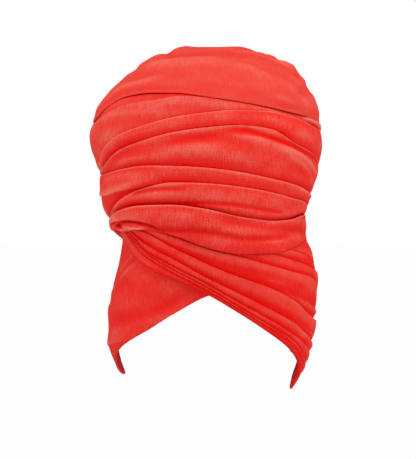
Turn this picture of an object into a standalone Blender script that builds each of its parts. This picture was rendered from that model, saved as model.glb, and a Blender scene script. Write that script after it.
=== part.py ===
"""Head wrap: one long strip of jersey, wound round a head with the hair up.

Millimetres in the tables, metres in the scene. The front faces -Y, +X is the
viewer's right and +Z is up. The origin is the middle of the inner crown, where
the gathered hair bears against the wrap.
"""
import bpy
import numpy as np

MM = 0.001

# Cloth and how it is wound
CLOTH_WALL = 1.5
CAP_WALL = 1.2
CAP_LEVEL = 0.0
PANEL_LEVEL = 2.8
TUCKED_LEVEL = 3.2
CROSS_LEVEL = 6.2
EDGE_LEVEL = 7.0
FRONT_LEVEL = 8.8
SHAPE_POWER = 2.2

# Azimuth steps of the weave of faces, in degrees
FRONT_STEP = 6.0
BACK_STEP = 15.0

# The head with its hair up, as half sizes of level sections, from the hem to
# the crown: height, left, right, front, back
HEAD = (
    (-266, 57, 60, 76, 66),
    (-250, 63, 65, 82, 76),
    (-238, 69, 71, 85, 82),
    (-223, 73.5, 75.5, 87, 89),
    (-202, 73.5, 78, 88, 95),
    (-187, 71, 79.5, 89, 99),
    (-173, 68, 80, 90, 102),
    (-156, 64, 76, 91, 104),
    (-143, 62.4, 70, 91, 105),
    (-128, 67.5, 69, 91, 106),
    (-111, 74.5, 72.5, 91, 107),
    (-89, 77, 79, 90, 107),
    (-62, 84.5, 82.5, 87, 105),
    (-45, 80.5, 81, 82, 101),
    (-32, 71, 77, 76, 95),
    (-20, 58, 70, 65, 85),
    (-9, 42, 58, 51, 69),
    (-2.4, 29, 43, 35, 49),
    (-0.3, 20, 31, 21, 28),
    (0, 0, 0, 0, 0),
)

# Heights of the turns' visible edges round the whole head, at these azimuths
TURN_AZIMUTHS = (-90, -75, -60, -45, -30, -15, 0, 15, 30, 45, 60, 75, 90,
                 120, 150, 180, 210, 240)
TURNS = {
    "crown_edge": (-54, -51.5, -45, -38, -35.3, -35.2, -37.8, -40.5, -43.8, -47,
                   -48.8, -50.5, -53, -58, -64, -67, -64, -58),
    "second_top": (-87, -81, -72.8, -63.3, -57.6, -52.2, -49.1, -47.1, -47.6,
                   -50.6, -55.1, -59, -63, -72, -82, -88, -89, -89),
    "broad_top": (-92, -88, -81.5, -73.6, -67.9, -62.5, -59.6, -58.4, -60.5, -69,
                  -74.5, -78.5, -84, -94, -102, -106, -104, -97),
    "brow_top": (-98, -94, -90.8, -88, -86.3, -87.2, -88.8, -91.8, -95.5, -98.6,
                 -101.6, -104, -108, -115, -121, -124, -120, -109),
    "temple_top": (-127, -123, -116, -107, -101.6, -99.6, -100.3, -102.5, -105.6,
                   -109, -111, -113, -117, -126, -135, -140, -135, -122),
    "front_top": (-131.5, -127.5, -122, -117.6, -115.5, -116, -119.2, -124.5,
                  -127.8, -126.5, -123, -122, -124.5, -136, -148, -155, -148,
                  -130),
    "front_hem": (-136, -135, -134, -133.4, -133.8, -139, -147.2, -152.6, -153,
                  -150, -147.2, -146, -148, -157, -167, -171, -161, -143),
}

# Heights of the cross band's pleats, from the tuck to the nape
CROSS_AZIMUTHS = (-84, -75, -60, -45, -30, -15, 0, 15, 30, 45, 60, 75, 90,
                  105, 120, 150, 180)
PLEATS = {
    "cross_top": (-135, -133, -129.5, -127, -126, -130, -137, -142, -142,
                  -138, -136, -136, -139, -143, -149, -158, -164),
    "first": (-136, -134, -131.4, -131.6, -136, -147, -160, -171, -179.5, -189.5,
              -199.5, -206.5, -211, -211, -201, -182, -171),
    "second": (-136.6, -135, -133, -134.6, -145.5, -157, -171, -183, -195, -206,
               -217, -226, -231, -230, -213, -189, -173.5),
    "third": (-137.2, -136, -134.6, -138, -151, -163, -176, -190, -202, -213.5,
              -224, -233, -239, -240, -221, -194, -176),
    "fourth": (-137.8, -137, -136.4, -142, -156, -167.5, -181, -195, -209,
               -220, -231, -242, -249, -252, -231, -201, -178.5),
    "cross_hem": (-138.6, -138.4, -138.8, -147, -161, -171.6, -183.4, -197.7,
                  -212.8, -226, -238, -249, -257, -261, -238, -208, -181),
}

# Heights of the side panel, from the right of the nape to its end at the brow
PANEL_AZIMUTHS = (-240, -210, -180, -150, -120, -105, -90, -75, -60, -45, -30,
                  -15, 0, 12)
PANEL = {
    "panel_top": (-152, -160, -164, -156, -138, -137, -134, -132, -130, -134,
                  -146, -156, -168, -180),
    "panel_hem": (-232, -203, -188, -203, -233, -249.5, -247, -240, -230, -221,
                  -211, -198, -185.5, -180),
}

# One turn from its edge down: part of the way to the next edge, greatest drop
# below that, inner level, outer level
TURN_ROWS = (
    (0.00, 0.0, EDGE_LEVEL, EDGE_LEVEL + 0.5),
    (0.00, 1.3, EDGE_LEVEL, EDGE_LEVEL + 1.9),
    (0.30, 1.3, EDGE_LEVEL - 0.3, EDGE_LEVEL + 2.2),
    (0.70, 1.0, EDGE_LEVEL - 1.4, EDGE_LEVEL + 1.0),
    (1.00, 0.0, TUCKED_LEVEL + 0.8, TUCKED_LEVEL + 2.4),
    (1.00, 7.0, TUCKED_LEVEL, TUCKED_LEVEL + CLOTH_WALL),
)
TEMPLE_ROWS = (
    (0.00, 0.0, EDGE_LEVEL, EDGE_LEVEL + 0.5),
    (0.00, 1.3, EDGE_LEVEL, EDGE_LEVEL + 1.8),
    (0.50, 1.3, EDGE_LEVEL - 0.6, EDGE_LEVEL + 1.2),
    (1.00, 0.6, EDGE_LEVEL - 2.9, EDGE_LEVEL - 1.3),
    (1.00, 4.0, PANEL_LEVEL + 2.2, PANEL_LEVEL + 3.4),
)
TOP_ROWS = (
    (-0.25, 0.0, TUCKED_LEVEL, TUCKED_LEVEL + CLOTH_WALL),
    (0.00, 0.0, TUCKED_LEVEL, TUCKED_LEVEL + 3.3),
    (0.35, 0.0, TUCKED_LEVEL + 0.6, TUCKED_LEVEL + 3.6),
    (0.75, 0.0, TUCKED_LEVEL + 0.6, TUCKED_LEVEL + 3.4),
    (1.00, 0.0, TUCKED_LEVEL, TUCKED_LEVEL + 2.2),
    (1.00, 7.0, TUCKED_LEVEL, TUCKED_LEVEL + CLOTH_WALL),
)
FRONT_ROWS = (
    (0.00, 0.0, FRONT_LEVEL, FRONT_LEVEL + 0.5),
    (0.00, 1.3, FRONT_LEVEL, FRONT_LEVEL + 1.6),
    (0.30, 0.6, FRONT_LEVEL, FRONT_LEVEL + 2.2),
    (0.55, 0.4, FRONT_LEVEL, FRONT_LEVEL + 2.3),
    (0.85, 0.0, FRONT_LEVEL, FRONT_LEVEL + 1.8),
    (1.00, 0.0, FRONT_LEVEL, FRONT_LEVEL + 0.6),
)

# The tuck that the front band's left end folds into: azimuths, part of the way
# down, depth, half width as a part of the band
TUCK_FROM = -86.0
TUCK_TO = -22.0
TUCK_PART = 0.55
TUCK_DEPTH = 1.1
TUCK_HALF = 0.14

# The cross band across its pleats: from line, to line, part of the way, outer
# level. A crest stands above each crease.
CREST = 2.5
CREASE = 1.0
CROSS_ROWS = (
    ("cross_top", "first", 0.00, 0.8),
    ("cross_top", "first", 0.20, 1.5),
    ("cross_top", "first", 0.42, 1.7),
    ("cross_top", "first", 0.66, 1.9),
    ("cross_top", "first", 0.92, CREST),
    ("first", "second", 0.00, CREASE),
    ("first", "second", 0.30, CREST),
    ("first", "second", 0.85, CREST),
    ("second", "third", 0.00, CREASE),
    ("second", "third", 0.60, CREST),
    ("third", "fourth", 0.00, CREASE),
    ("third", "fourth", 0.60, CREST),
    ("fourth", "cross_hem", 0.00, CREASE),
    ("fourth", "cross_hem", 0.55, CREST),
    ("fourth", "cross_hem", 0.92, 1.8),
    ("fourth", "cross_hem", 1.00, 0.7),
)
CROSS_INNER_ROWS = (
    ("cross_top", "first", 0.00),
    ("cross_top", "first", 0.30),
    ("cross_top", "first", 0.60),
    ("first", "second", 0.00),
    ("second", "third", 0.00),
    ("fourth", "cross_hem", 0.00),
    ("fourth", "cross_hem", 1.00),
)

# The crown from its folded edge to the top: part of the way, outer level
CROWN_ROWS = (
    (0.00, EDGE_LEVEL + 0.5),
    (0.02, EDGE_LEVEL + 2.0),
    (0.09, EDGE_LEVEL + 2.8),
    (0.22, EDGE_LEVEL + 2.4),
    (0.38, EDGE_LEVEL + 2.2),
    (0.54, EDGE_LEVEL + 2.2),
    (0.70, EDGE_LEVEL + 2.6),
    (0.86, EDGE_LEVEL + 3.9),
)
CROWN_INNER_PARTS = (0.0, 0.10, 0.24, 0.45, 0.70, 0.86)

# Soft ridges on the crown: azimuth and part of the way up of each end, height
# of the ridge, half width as a part of the way up
CROWN_RIDGES = (
    (-80, 0.42, 60, 0.30, 1.0, 0.06),
    (-50, 0.62, 85, 0.45, 1.2, 0.07),
    (20, 0.16, 100, 0.22, 0.8, 0.05),
)

# The panel's soft slanting folds: azimuth and height of each end, depth, half
# width
PANEL_FOLDS = (
    (-52, -150, -76, -184, 0.8, 5.0),
    (-60, -160, -82, -200, 0.6, 5.0),
)

# Colour of the jersey
CORAL = (0.82, 0.058, 0.035)
WEAVE_ROUGHNESS = 0.85


def hermite(knots, values, x):
    """A smooth curve through a table that never overshoots its rows."""
    knots = np.asarray(knots, float)
    values = np.asarray(values, float)
    x = np.clip(x, knots[0], knots[-1])
    step = np.diff(knots)
    rise = np.diff(values) / step
    slope = np.empty(len(knots))
    slope[0] = rise[0]
    slope[-1] = rise[-1]
    product = rise[1:] * rise[:-1]
    total = np.where(product > 0, rise[1:] + rise[:-1], 1.0)
    slope[1:-1] = np.where(product > 0, 2 * product / total, 0.0)
    i = np.clip(np.searchsorted(knots, x, side="right") - 1, 0, len(knots) - 2)
    h = step[i]
    t = (x - knots[i]) / h
    return ((1 + 2 * t) * (1 - t) ** 2 * values[i]
            + t * (1 - t) ** 2 * h * slope[i]
            + t * t * (3 - 2 * t) * values[i + 1]
            + t * t * (t - 1) * h * slope[i + 1])


def climb_table():
    """Length up the head's outline from the hem to each section."""
    rows = np.array(HEAD, float)
    breadth = (rows[:, 1] + rows[:, 2]) / 2
    legs = np.hypot(np.diff(breadth), np.diff(rows[:, 0]))
    return np.concatenate([[0.0], np.cumsum(legs)])


CLIMB = climb_table()
HEAD_TABLE = np.array(HEAD, float)


def climb_at(height):
    """Length up the outline at which a height is reached."""
    fine = np.linspace(0, CLIMB[-1], 1200)
    return np.interp(height, hermite(CLIMB, HEAD_TABLE[:, 0], fine), fine)


def head_point(azimuth, climb):
    """Points of the head's surface, in millimetres."""
    azimuth, climb = np.broadcast_arrays(azimuth, climb)
    turn = np.radians(azimuth)
    up, left, right, front, back = [hermite(CLIMB, HEAD_TABLE[:, k], climb)
                                    for k in range(5)]
    side = np.maximum(np.where(np.sin(turn) < 0, left, right), 0.01)
    deep = np.maximum(np.where(np.cos(turn) > 0, front, back), 0.01)
    reach = ((np.abs(np.sin(turn)) / side) ** SHAPE_POWER
             + (np.abs(np.cos(turn)) / deep) ** SHAPE_POWER) ** (-1 / SHAPE_POWER)
    return np.stack([reach * np.sin(turn), -reach * np.cos(turn), up], axis=-1)


def wrap_point(azimuth, climb, level):
    """Points that stand off the head's surface by a level."""
    azimuth, climb, level = np.broadcast_arrays(azimuth, climb, level)
    climb = np.clip(climb, 0, CLIMB[-1] - 3.0)
    here = head_point(azimuth, climb)
    around = head_point(azimuth + 0.5, climb) - head_point(azimuth - 0.5, climb)
    along = head_point(azimuth, climb + 1.5) - head_point(azimuth, climb - 1.5)
    out = np.cross(around, along)
    out /= np.linalg.norm(out, axis=-1, keepdims=True)
    return here + out * level[..., None]


def ring_line(name, azimuth):
    """Height of a turn's edge at azimuths, closed round the head."""
    stations = np.array(TURN_AZIMUTHS, float)
    heights = np.array(TURNS[name], float)
    stations = np.concatenate([stations - 360, stations, stations + 360])
    heights = np.concatenate([heights, heights, heights])
    return hermite(stations, heights, azimuth)


def open_line(stations, table, name, azimuth):
    """Height of a line that doesn't close."""
    return hermite(stations, table[name], azimuth)


def azimuth_steps(start, end):
    """Azimuths from start to end, finer at the front than at the back."""
    front = np.arange(-90, 90, FRONT_STEP)
    back = np.arange(90, 270, BACK_STEP)
    one = np.concatenate([front, back])
    many = np.concatenate([one - 360, one, one + 360])
    inside = many[(many > start + 1.5) & (many < end - 1.5)]
    return np.concatenate([[start], inside, [end]])


def ring_steps():
    """Azimuths once round the head."""
    return np.concatenate([np.arange(-90, 90, FRONT_STEP),
                           np.arange(90, 270, BACK_STEP)])


def add_object(name, points, faces, material):
    """Make one named object of points in millimetres."""
    mesh = bpy.data.meshes.new(name)
    mesh.from_pydata([tuple(p) for p in np.asarray(points) * MM], [], faces)
    mesh.update()
    item = bpy.data.objects.new(name, mesh)
    item.data.materials.append(material)
    for face in mesh.polygons:
        face.use_smooth = True
    PARTS.objects.link(item)
    return item


def shell(name, outer, inner, closed, material):
    """A closed cloth wall between an outer and an inner grid of points.

    Rows run from the top edge down and columns run round the head. A closed
    shell joins its last column to its first; an open one gets end walls.
    """
    rows_out, columns = outer.shape[:2]
    rows_in = inner.shape[0]
    points = np.concatenate([outer.reshape(-1, 3), inner.reshape(-1, 3)])
    start = rows_out * columns
    last = columns if closed else columns - 1
    faces = []
    for c in range(last):
        d = (c + 1) % columns
        for r in range(rows_out - 1):
            faces.append((r * columns + c, (r + 1) * columns + c,
                          (r + 1) * columns + d, r * columns + d))
        for r in range(rows_in - 1):
            faces.append((start + r * columns + c, start + r * columns + d,
                          start + (r + 1) * columns + d,
                          start + (r + 1) * columns + c))
        faces.append((c, d, start + d, start + c))
        low_out = (rows_out - 1) * columns
        low_in = start + (rows_in - 1) * columns
        faces.append((low_out + c, low_in + c, low_in + d, low_out + d))
    if not closed:
        for c, flip in ((0, True), (columns - 1, False)):
            rim = [r * columns + c for r in range(rows_out)]
            rim += [start + r * columns + c for r in reversed(range(rows_in))]
            faces.append(tuple(reversed(rim)) if flip else tuple(rim))
    return add_object(name, points, faces, material)


def dome(name, outer, inner, top_outer, top_inner, material):
    """A cloth dome: rings from the edge up, closed by a point at the top."""
    rows_out, columns = outer.shape[:2]
    rows_in = inner.shape[0]
    points = np.concatenate([outer.reshape(-1, 3), inner.reshape(-1, 3),
                             [top_outer], [top_inner]])
    start = rows_out * columns
    peak = len(points) - 2
    faces = []
    for c in range(columns):
        d = (c + 1) % columns
        for r in range(rows_out - 1):
            faces.append((r * columns + c, r * columns + d,
                          (r + 1) * columns + d, (r + 1) * columns + c))
        for r in range(rows_in - 1):
            faces.append((start + r * columns + c, start + (r + 1) * columns + c,
                          start + (r + 1) * columns + d, start + r * columns + d))
        top_out = (rows_out - 1) * columns
        top_in = start + (rows_in - 1) * columns
        faces.append((top_out + c, top_out + d, peak))
        faces.append((top_in + c, peak + 1, top_in + d))
        faces.append((c, start + c, start + d, d))
    return add_object(name, points, faces, material)


def jersey(name, colour):
    """Matt jersey in one shade."""
    material = bpy.data.materials.new(name)
    material.use_nodes = True
    surface = material.node_tree.nodes["Principled BSDF"]
    surface.inputs["Base Color"].default_value = (*colour, 1.0)
    surface.inputs["Roughness"].default_value = WEAVE_ROUGHNESS
    surface.inputs["Metallic"].default_value = 0.0
    material.diffuse_color = (*colour, 1.0)
    return material


def shade(amount):
    """The jersey's colour, a little lighter or darker."""
    return tuple(min(1.0, channel * amount) for channel in CORAL)


def wound_turn(name, lines, rows, tuck_share, material):
    """A turn that closes round the head, from its edge to beneath the next.

    lines names its own edge, the next one, which lies over its lower part, and
    the one after that, which it must not reach.
    """
    azimuth = ring_steps()
    high, low, after = [ring_line(line, azimuth) for line in lines]
    outer = []
    inner = []
    for part, drop, under, over in rows:
        room = tuck_share * ((low - after) if part >= 1 else (high - low))
        height = high + (low - high) * part - np.minimum(drop, room)
        climb = climb_at(height)
        if name == "front_band":
            over = over - tuck_dent(azimuth, part)
        outer.append(wrap_point(azimuth, climb, over))
        if part != 0.30:
            inner.append(wrap_point(azimuth, climb, under))
    return shell(name, np.array(outer), np.array(inner), True, material)


def tuck_dent(azimuth, part):
    """Depth of the crease that the front band's left end folds into."""
    turned = (azimuth + 180) % 360 - 180
    along = np.clip((turned - TUCK_FROM) / (TUCK_TO - TUCK_FROM), 0, 1)
    across = np.exp(-((part - TUCK_PART) / TUCK_HALF) ** 2)
    return TUCK_DEPTH * np.sin(np.pi * along) ** 0.7 * across


def crown_swell(azimuth, part):
    """Height that the crown's soft ridges add."""
    total = np.zeros(np.broadcast(azimuth, part).shape)
    turned = (azimuth + 180) % 360 - 180
    for az0, part0, az1, part1, height, half in CROWN_RIDGES:
        along = np.clip((turned - az0) / (az1 - az0), 0, 1)
        middle = part0 + (part1 - part0) * along
        fade = np.sin(np.pi * np.clip(along, 0.02, 0.98))
        total = total + height * fade * np.exp(-((part - middle) / half) ** 2)
    return total


def crown_wrap():
    """The cloth over the crown, down to its folded edge."""
    azimuth = ring_steps()
    edge = climb_at(ring_line("crown_edge", azimuth))
    reach = CLIMB[-1] - edge
    outer = [wrap_point(azimuth, edge + reach * part,
                        over + crown_swell(azimuth, part))
             for part, over in CROWN_ROWS]
    inner = [wrap_point(azimuth, edge + reach * part, EDGE_LEVEL)
             for part in CROWN_INNER_PARTS]
    return dome("crown_wrap", np.array(outer), np.array(inner),
                (3.0, 4.0, EDGE_LEVEL + 4.1), (3.0, 4.0, EDGE_LEVEL),
                jersey("crown_jersey", shade(1.0)))


def cap_hem(azimuth):
    """Lower edge of the first turn, just inside the visible hems."""
    panel = open_line(PANEL_AZIMUTHS, PANEL, "panel_hem",
                      np.where(azimuth > 12, azimuth - 360, azimuth))
    cross = open_line(CROSS_AZIMUTHS, PLEATS, "cross_hem", azimuth)
    panel = np.where((azimuth > -2) & (azimuth < 125), 0, panel)
    cross = np.where(azimuth < -2, 0, cross)
    lift = hermite((0, 70, 100, 180), (5, 5, 16, 16), np.abs(azimuth))
    return np.minimum(panel, cross) + lift


def under_cap():
    """The first turn, laid smooth on the head and hair."""
    azimuth = ring_steps()
    hem = climb_at(cap_hem(azimuth))
    reach = CLIMB[-1] - hem
    parts = (0.0, 0.045, 0.09, 0.14, 0.19, 0.24, 0.29, 0.34, 0.41, 0.51, 0.61,
             0.70, 0.78, 0.86, 0.93)
    outer = [wrap_point(azimuth, hem + reach * part, CAP_LEVEL + CAP_WALL)
             for part in parts]
    inner = [wrap_point(azimuth, hem + reach * part, CAP_LEVEL)
             for part in parts]
    return dome("under_cap", np.array(outer), np.array(inner),
                (3.0, 4.0, CAP_LEVEL + CAP_WALL), (3.0, 4.0, CAP_LEVEL),
                jersey("cap_jersey", shade(0.85)))


def cross_height(row, azimuth):
    """Height of one row of the cross band."""
    high = open_line(CROSS_AZIMUTHS, PLEATS, row[0], azimuth)
    low = open_line(CROSS_AZIMUTHS, PLEATS, row[1], azimuth)
    return high + (low - high) * row[2]


def cross_band():
    """The pleated band from the tuck down over the right ear to the nape."""
    azimuth = azimuth_steps(CROSS_AZIMUTHS[0], CROSS_AZIMUTHS[-1])
    outer = [wrap_point(azimuth, climb_at(cross_height(row, azimuth)),
                        CROSS_LEVEL + pleat_rise(row, azimuth))
             for row in CROSS_ROWS]
    inner = [wrap_point(azimuth, climb_at(cross_height(row, azimuth)),
                        CROSS_LEVEL)
             for row in CROSS_INNER_ROWS]
    return shell("cross_band", np.array(outer), np.array(inner), False,
                 jersey("cross_jersey", shade(0.98)))


def pleat_rise(row, azimuth):
    """The pleats are pressed flat where the front band holds them."""
    held = cross_height(row, azimuth) > ring_line("front_hem", azimuth) - 2.0
    fade = 0.55 + 0.45 * np.clip((azimuth + 84) / 40, 0, 1)
    pressed = np.minimum(row[3], FRONT_LEVEL - CROSS_LEVEL - 1.0)
    return np.where(held, pressed, row[3] * fade)


def side_panel():
    """The turn round the nape and up the left side to the brow."""
    azimuth = azimuth_steps(PANEL_AZIMUTHS[0], PANEL_AZIMUTHS[-1])
    high = open_line(PANEL_AZIMUTHS, PANEL, "panel_top", azimuth)
    low = open_line(PANEL_AZIMUTHS, PANEL, "panel_hem", azimuth)
    outer = []
    inner = []
    for part, over in ((0.0, 1.0), (0.04, 1.5), (0.2, 1.9), (0.36, 2.0),
                       (0.52, 2.0), (0.68, 2.0), (0.84, 1.9), (0.97, 1.9),
                       (1.0, 0.8)):
        height = high + (low - high) * part
        dent = panel_dent(azimuth, height)
        outer.append(wrap_point(azimuth, climb_at(height),
                                PANEL_LEVEL + over - dent))
    for part in (0.0, 0.07, 0.15, 0.26, 0.39, 0.52, 0.66, 0.83, 1.0):
        inner.append(wrap_point(azimuth, climb_at(high + (low - high) * part),
                                PANEL_LEVEL))
    return shell("side_panel", np.array(outer), np.array(inner), False,
                 jersey("panel_jersey", shade(0.96)))


def panel_dent(azimuth, height):
    """Depth of the panel's slanting folds."""
    total = np.zeros(len(azimuth))
    for az0, up0, az1, up1, depth, half in PANEL_FOLDS:
        along = np.clip((height - up0) / (up1 - up0), 0, 1)
        middle = az0 + (az1 - az0) * along
        inside = (height < up0 + 6) & (height > up1 - 6)
        total += inside * depth * np.exp(-((azimuth - middle) / half) ** 2)
    return np.minimum(total, 0.8)


for item in list(bpy.data.objects):
    bpy.data.objects.remove(item, do_unlink=True)

PARTS = bpy.data.collections.new("head_wrap")
bpy.context.scene.collection.children.link(PARTS)

under_cap()
crown_wrap()
wound_turn("top_band", ("crown_edge", "second_top", "broad_top"), TOP_ROWS,
           0.8, jersey("top_jersey", shade(0.99)))
wound_turn("second_band", ("second_top", "broad_top", "brow_top"), TURN_ROWS,
           0.8, jersey("second_jersey", shade(1.01)))
wound_turn("broad_band", ("broad_top", "brow_top", "temple_top"), TURN_ROWS,
           0.8, jersey("broad_jersey", shade(0.97)))
wound_turn("brow_band", ("brow_top", "temple_top", "front_top"), TURN_ROWS,
           0.8, jersey("brow_jersey", shade(0.98)))
wound_turn("temple_band", ("temple_top", "front_top", "front_hem"),
           TEMPLE_ROWS, 0.4, jersey("temple_jersey", shade(1.0)))
wound_turn("front_band", ("front_top", "front_hem", "front_hem"), FRONT_ROWS,
           0.4, jersey("front_jersey", shade(1.02)))
cross_band()
side_panel()
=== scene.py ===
import math
import bpy
import numpy as np
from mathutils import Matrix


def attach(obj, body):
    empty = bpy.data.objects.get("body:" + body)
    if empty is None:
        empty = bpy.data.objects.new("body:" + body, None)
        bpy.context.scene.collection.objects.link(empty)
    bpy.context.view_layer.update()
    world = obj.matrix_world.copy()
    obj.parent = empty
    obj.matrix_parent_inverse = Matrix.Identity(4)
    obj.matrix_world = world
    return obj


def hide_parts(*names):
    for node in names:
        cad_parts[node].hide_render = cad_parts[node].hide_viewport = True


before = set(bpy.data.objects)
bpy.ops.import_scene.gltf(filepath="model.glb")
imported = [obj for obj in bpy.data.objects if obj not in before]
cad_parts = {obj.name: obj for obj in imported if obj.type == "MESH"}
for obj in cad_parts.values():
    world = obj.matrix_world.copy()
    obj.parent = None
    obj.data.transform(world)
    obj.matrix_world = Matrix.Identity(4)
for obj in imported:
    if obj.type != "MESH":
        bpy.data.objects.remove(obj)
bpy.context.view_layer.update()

for item in bpy.context.selected_objects:
    item.select_set(False)

# The camera stands level with the middle of the wrap, 1.45 m in front of it.
# One pixel of the picture is 0.8 mm there.
VIEW_DISTANCE = 1.45
VIEW_HEIGHT = -0.1344
PIXEL = 0.0008
PICTURE_HIGH = 459
PICTURE_MIDDLE, WRAP_MIDDLE = 208, 206.5    # pixels from the left
SENSOR = 36.0
view = bpy.data.cameras.new("view")
view.sensor_width = SENSOR
view.lens = SENSOR * VIEW_DISTANCE / (PICTURE_HIGH * PIXEL)
view.clip_start = 0.05
camera = bpy.data.objects.new("camera", view)
camera.location = ((PICTURE_MIDDLE - WRAP_MIDDLE) * PIXEL, -VIEW_DISTANCE,
                   VIEW_HEIGHT)
camera.rotation_euler = (math.pi / 2, 0, 0)
bpy.context.scene.collection.objects.link(camera)
bpy.context.scene.camera = camera


# The first turn of the wrap lies smooth on the head and on the hair gathered
# at the crown. It is one layer of cotton jersey, and shows only from inside.
HEAD = np.array((
    # height, left, right, front, back of the head and hair, in millimetres
    (-266, 57, 60, 76, 66),
    (-250, 63, 65, 82, 76),
    (-238, 69, 71, 85, 82),
    (-223, 73.5, 75.5, 87, 89),
    (-202, 73.5, 78, 88, 95),
    (-187, 71, 79.5, 89, 99),
    (-173, 68, 80, 90, 102),
    (-156, 64, 76, 91, 104),
    (-143, 62.4, 70, 91, 105),
    (-128, 67.5, 69, 91, 106),
    (-111, 74.5, 72.5, 91, 107),
    (-89, 77, 79, 90, 107),
    (-62, 84.5, 82.5, 87, 105),
    (-45, 80.5, 81, 82, 101),
    (-32, 71, 77, 76, 95),
    (-20, 58, 70, 65, 85),
    (-9, 42, 58, 51, 69),
    (-2.4, 29, 43, 35, 49),
    (-0.3, 20, 31, 21, 28),
    (0, 0, 0, 0, 0),
), float)
ROUNDNESS = 2.2    # 2 is an ellipse, more is squarer


def curve(knots, values, x):
    """A smooth line through a table that never overshoots its rows."""
    knots = np.asarray(knots, float)
    values = np.asarray(values, float)
    x = np.clip(x, knots[0], knots[-1])
    step = np.diff(knots)
    rise = np.diff(values) / step
    product = rise[1:] * rise[:-1]
    total = np.where(product > 0, rise[1:] + rise[:-1], 1.0)
    middle = np.where(product > 0, 2 * product / total, 0.0)
    slope = np.concatenate([rise[:1], middle, rise[-1:]])
    i = np.clip(np.searchsorted(knots, x, side="right") - 1, 0, len(knots) - 2)
    h = step[i]
    t = (x - knots[i]) / h
    return ((1 + 2 * t) * (1 - t) ** 2 * values[i]
            + t * (1 - t) ** 2 * h * slope[i]
            + t * t * (3 - 2 * t) * values[i + 1]
            + t * t * (t - 1) * h * slope[i + 1])


# a climb is a length up the head's outline, from its lowest row
legs = np.hypot(np.diff((HEAD[:, 1] + HEAD[:, 2]) / 2), np.diff(HEAD[:, 0]))
CLIMB = np.concatenate([[0.0], np.cumsum(legs)])
OUTLINE_STEPS = 3000
climb_steps = np.linspace(0, CLIMB[-1], OUTLINE_STEPS)
height_steps = curve(CLIMB, HEAD[:, 0], climb_steps)


def climb_at(height):
    """Length up the head's outline at which a height is reached."""
    return np.interp(height, height_steps, climb_steps)


def head_point(azimuth, climb):
    """Points of the head's surface, in millimetres."""
    turn = np.radians(azimuth)
    up, left, right, front, back = [curve(CLIMB, HEAD[:, k], climb)
                                    for k in range(5)]
    side = np.maximum(np.where(np.sin(turn) < 0, left, right), 0.01)
    deep = np.maximum(np.where(np.cos(turn) > 0, front, back), 0.01)
    reach = ((np.abs(np.sin(turn)) / side) ** ROUNDNESS
             + (np.abs(np.cos(turn)) / deep) ** ROUNDNESS) ** (-1 / ROUNDNESS)
    return np.stack([reach * np.sin(turn), -reach * np.cos(turn), up], axis=-1)


TOP_MARGIN = 3.0    # millimetres of climb short of the head's top
# degrees and millimetres to the neighbours that show which way is out
TURN_STEP, CLIMB_STEP = 1, 2


def wrap_point(azimuth, climb, level):
    """Points that stand off the head's surface by a level, in millimetres."""
    azimuth, climb, level = np.broadcast_arrays(azimuth, climb, level)
    climb = np.clip(climb, 0, CLIMB[-1] - TOP_MARGIN)
    around = (head_point(azimuth + TURN_STEP, climb)
              - head_point(azimuth - TURN_STEP, climb))
    along = (head_point(azimuth, climb + CLIMB_STEP)
             - head_point(azimuth, climb - CLIMB_STEP))
    out = np.cross(around, along)
    out /= np.linalg.norm(out, axis=-1, keepdims=True)
    return head_point(azimuth, climb) + out * level[..., None]


# columns round the head in degrees, 0 in front and 90 at the viewer's right,
# closer together over the brow than at the back
SIDE, CLOSE, WIDE = 96, 0.8, 1.5
RING = np.concatenate([np.arange(-180, -SIDE, WIDE), np.arange(-SIDE, SIDE, CLOSE),
                       np.arange(SIDE, 180, WIDE)])
ROUND = 1.55    # millimetres of cloth to one degree round the head
# how far round each point the cloth is compared, for painted shade in hollows and
# painted light on ridges
RELIEF_REACH = ((6.0, 1.0), (16.0, 0.25))    # millimetres of cloth, and weight
# a painted highlight along each rolled rim: its reach in millimetres, its strength,
# and the painted light over the roll
RIM_HIGHLIGHT_REACH, RIM_HIGHLIGHT, ROLL_HIGHLIGHT = 1.1, 0.8, 0.4
RELIEF_LIMIT = 1.6


def relief_light_and_shade(climb, level, outside, hold):
    """How far each outside point stands out from the cloth near it.

    The colour turns these values into painted shade in hollows and painted light on
    ridges. hold is how many rows at the start roll over the edge; a painted highlight
    lies on that roll and along its rim.
    """
    part = climb[:outside]
    painted_light_shade = np.zeros_like(level)
    for reach, weight in RELIEF_REACH:
        near = np.exp(-((part[:, None] - part[None]) / reach) ** 2)
        mean = (near * level[None, :outside]).sum(axis=1) / near.sum(axis=1)
        painted_light_shade[:outside] += weight * (level[:outside] - mean)
    # painted highlight on the roll and along its rim
    if hold:
        painted_light_shade[:hold] = ROLL_HIGHLIGHT
        rim = np.exp(-((part - part[hold - 1]) / RIM_HIGHLIGHT_REACH) ** 2)
        painted_light_shade[:outside] += RIM_HIGHLIGHT * rim
    return np.clip(painted_light_shade, -RELIEF_LIMIT, RELIEF_LIMIT)


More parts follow.
